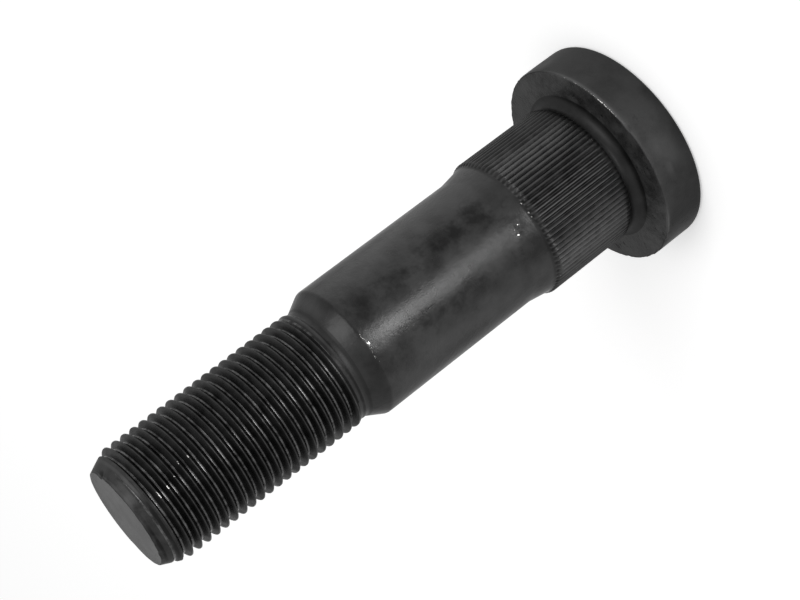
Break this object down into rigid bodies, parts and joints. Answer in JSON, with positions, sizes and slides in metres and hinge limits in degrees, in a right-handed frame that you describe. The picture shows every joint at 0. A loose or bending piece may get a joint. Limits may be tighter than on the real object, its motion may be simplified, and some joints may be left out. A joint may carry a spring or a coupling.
{
  "type": "wheel bolt",
  "caption": "Press-in wheel bolt: flat round head, straight knurl for the hub flange, plain shank and a fine outside thread with a coned point for the wheel nut.",
  "frame": {"origin": "centre of the head's flat outer face, on which the bolt stands", "axes": "+Z along the bolt's axis, from the head to the thread's point; the bolt is round, so +X and +Y are free"},
  "size_m": [0.0322, 0.0322, 0.091],
  "materials": {
    "phosphated_steel": "forged and turned steel with a dark satin phosphate coat"
  },
  "bodies": {
    "root": {"wheel_bolt": "phosphated_steel"}
  },
  "joints": []
}
